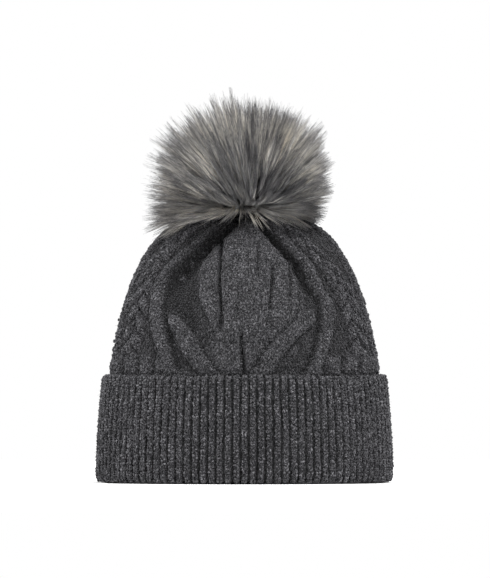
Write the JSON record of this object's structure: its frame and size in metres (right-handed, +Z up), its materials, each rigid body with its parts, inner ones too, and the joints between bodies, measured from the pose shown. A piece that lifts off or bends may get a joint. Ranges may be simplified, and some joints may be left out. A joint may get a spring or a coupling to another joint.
{
  "type": "pom pom beanie",
  "caption": "Cable-knit winter beanie with a turned-up ribbed cuff and a large faux-fur pom that snaps on and off at the crown.",
  "frame": {"origin": "centre of the head opening, in the plane of the cuff's lower edge", "axes": "+Z up through the crown and the pom, +X across the front cable panel, +Y towards the back seam"},
  "size_m": [0.229, 0.1802, 0.2994],
  "materials": {
    "body_knit": "matte",
    "cuff_knit": "matte",
    "seam_knit": "matte",
    "label_tape": "satin",
    "draw_yarn": "matte",
    "felt": "matte",
    "snap_metal": "satin",
    "thread": "matte",
    "pelt_backing": "matte",
    "filling": "matte",
    "fur": "matte"
  },
  "bodies": {
    "hat": {"knit_body": "body_knit", "rib_cuff": "cuff_knit", "back_seam": "seam_knit", "care_label": "label_tape", "crown_draw_yarn": "draw_yarn", "crown_backing_disc": "felt", "socket_post": "snap_metal", "snap_socket": "snap_metal"},
    "spring": {"snap_spring": "snap_metal"},
    "stud": {"snap_stud": "snap_metal", "pom_shank": "thread"},
    "pom": {"pom_base_disc": "felt", "pom_draw_thread": "thread", "pom_pelt": "pelt_backing", "pom_stuffing": "filling", "pom_fur": "fur"}
  },
  "joints": [
    {"name": "pom_swivel", "type": "hinge", "parent": "hat", "child": "spring", "pos_m": [0, 0, 0.2146], "axis": [0, 0, 1], "continuous": true},
    {"name": "pom_pull_off", "type": "slide", "parent": "spring", "child": "stud", "axis": [0, 0, 1], "range_m": [0, 0.06], "deforming": ["snap_spring"]},
    {"name": "pom_flop", "type": "hinge", "parent": "stud", "child": "pom", "pos_m": [0, 0, 0.2196], "axis": [0, 1, 0], "range_deg": [-10, 10], "stiffness_Nm_per_rad": 0.05}
  ]
}
